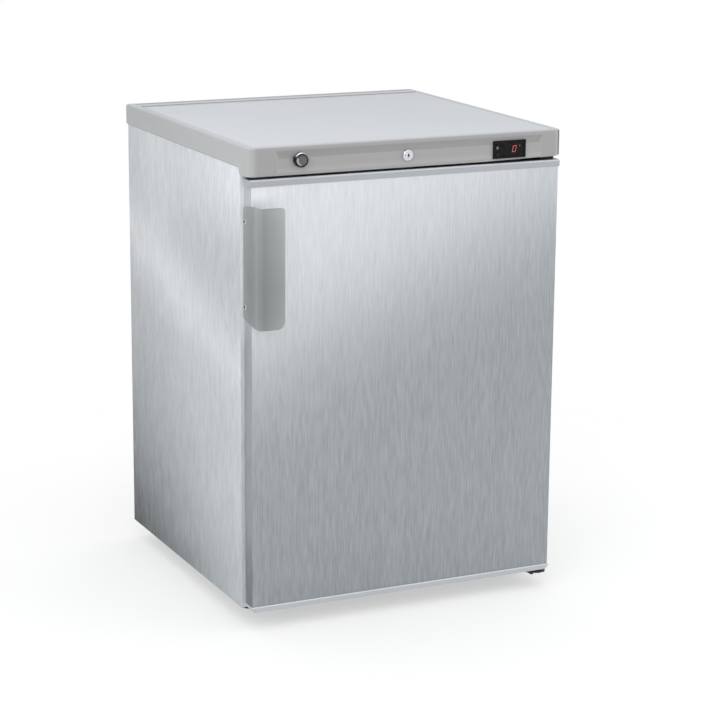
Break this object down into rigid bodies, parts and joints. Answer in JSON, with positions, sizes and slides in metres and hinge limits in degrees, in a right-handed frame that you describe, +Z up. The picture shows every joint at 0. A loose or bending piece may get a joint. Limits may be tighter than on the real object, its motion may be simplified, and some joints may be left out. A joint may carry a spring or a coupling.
{
  "type": "undercounter refrigerator",
  "caption": "Free-standing undercounter refrigerator with a moulded worktop, a fascia with switch, lock and temperature display, one right-hinged steel door and wire shelves inside.",
  "frame": {"origin": "on the floor, under the centre of the outline in plan (front of the handle to the rear edge of the worktop)", "axes": "+Z up, +X to the right seen from the front, +Y to the rear; the door faces -Y"},
  "size_m": [0.6, 0.642, 0.85],
  "materials": {
    "worktop_plastic": "warm grey moulded, satin",
    "worktop_inlay": "pale blue-grey, satin",
    "handle_plastic": "warm grey, fine texture",
    "trim_plastic": "silver grey, satin",
    "side_steel": "vertical grain",
    "door_steel": "vertical grain",
    "galvanised": "galvanised, dull spangle",
    "black_steel": "black powder coat",
    "foot_steel": "steel foot and stud, black coated",
    "white_abs": "white, semi-gloss",
    "foam": "rigid polyurethane foam, closed skin",
    "gasket_rubber": "grey, matt",
    "black_rubber": "black, matt",
    "black_plastic": "black, fine texture",
    "dark_cap": "dark grey, satin",
    "chrome": "polished",
    "window": "smoked acrylic",
    "display": "dark red filter",
    "zinc": "zinc plated",
    "shelf_wire": "white plastic-coated wire",
    "copper": "drawn copper tube",
    "black_enamel": "black enamel",
    "evaporator_alu": "rolled, satin",
    "white_nylon": "white nylon",
    "steel_probe": "polished steel capsule"
  },
  "bodies": {
    "cabinet": {"worktop_frame": "worktop_plastic", "worktop_panel": "worktop_inlay", "side_panel_left": "side_steel", "side_panel_right": "side_steel", "back_panel": "galvanised", "base_plate": "galvanised", "top_sheet": "galvanised", "front_frame": "side_steel", "machine_room_panel": "galvanised", "cabinet_foam": "foam", "cabinet_liner": "white_abs", "switch_body": "chrome", "lock_body": "chrome", "controller_housing": "black_plastic", "controller_lens": "window", "controller_display": "display", "hinge_bracket_lower": "black_steel", "hinge_bracket_upper": "black_steel", "hinge_pins": "black_steel", "hinge_screws": "zinc", "shelf_upper": "shelf_wire", "shelf_middle": "shelf_wire", "shelf_lower": "shelf_wire", "temperature_probe": "steel_probe", "evaporator": "evaporator_alu", "evaporator_standoffs": "white_nylon", "fan_housing": "black_plastic", "fan_motor": "black_enamel", "fan_guard": "shelf_wire", "compressor": "black_enamel", "compressor_grommets": "black_rubber", "compressor_terminal_cover": "black_plastic", "condensate_tray": "black_plastic", "drain_hose": "white_nylon", "condenser_tube": "black_enamel", "condenser_wires": "black_enamel", "filter_drier": "copper", "suction_line": "copper", "capillary_tube": "copper", "power_cord": "black_rubber", "foot_bushes": "zinc"},
    "door": {"door_skin": "door_steel", "door_foam": "foam", "door_liner": "white_abs", "door_gasket": "gasket_rubber", "door_trim_top": "trim_plastic", "door_trim_bottom": "trim_plastic", "door_handle": "handle_plastic", "handle_screws": "zinc", "hinge_bushes": "white_nylon"},
    "lock": {"lock_plug": "chrome", "lock_cam": "zinc"},
    "switch": {"switch_cap": "dark_cap"},
    "key_set": {"controller_key_set": "dark_cap"},
    "key_down": {"controller_key_down": "dark_cap"},
    "fan": {"fan_blade": "black_plastic"},
    "foot_fl": {"foot_front_left": "foot_steel"},
    "foot_fr": {"foot_front_right": "foot_steel"},
    "foot_rl": {"foot_rear_left": "foot_steel"},
    "foot_rr": {"foot_rear_right": "foot_steel"}
  },
  "joints": [
    {"name": "door_hinge", "type": "hinge", "parent": "cabinet", "child": "door", "pos_m": [0.283, -0.263, 0.4], "axis": [0, 0, 1], "range_deg": [0, 115]},
    {"name": "lock_turn", "type": "hinge", "parent": "cabinet", "child": "lock", "pos_m": [-0.0043, -0.26, 0.822], "axis": [0, 1, 0], "range_deg": [0, 90]},
    {"name": "switch_press", "type": "slide", "parent": "cabinet", "child": "switch", "axis": [0, 1, 0], "range_m": [0, 0.003]},
    {"name": "key_set_press", "type": "slide", "parent": "cabinet", "child": "key_set", "axis": [0, 1, 0], "range_m": [0, 0.0008]},
    {"name": "key_down_press", "type": "slide", "parent": "cabinet", "child": "key_down", "axis": [0, 1, 0], "range_m": [0, 0.0008]},
    {"name": "fan_spin", "type": "hinge", "parent": "cabinet", "child": "fan", "pos_m": [0, 0.16, 0.68], "axis": [0, 1, 0], "continuous": true},
    {"name": "foot_front_left_adjust", "type": "slide", "parent": "cabinet", "child": "foot_fl", "axis": [0, 0, -1], "range_m": [0, 0.012]},
    {"name": "foot_front_right_adjust", "type": "slide", "parent": "cabinet", "child": "foot_fr", "axis": [0, 0, -1], "range_m": [0, 0.012]},
    {"name": "foot_rear_left_adjust", "type": "slide", "parent": "cabinet", "child": "foot_rl", "axis": [0, 0, -1], "range_m": [0, 0.012]},
    {"name": "foot_rear_right_adjust", "type": "slide", "parent": "cabinet", "child": "foot_rr", "axis": [0, 0, -1], "range_m": [0, 0.012]}
  ]
}
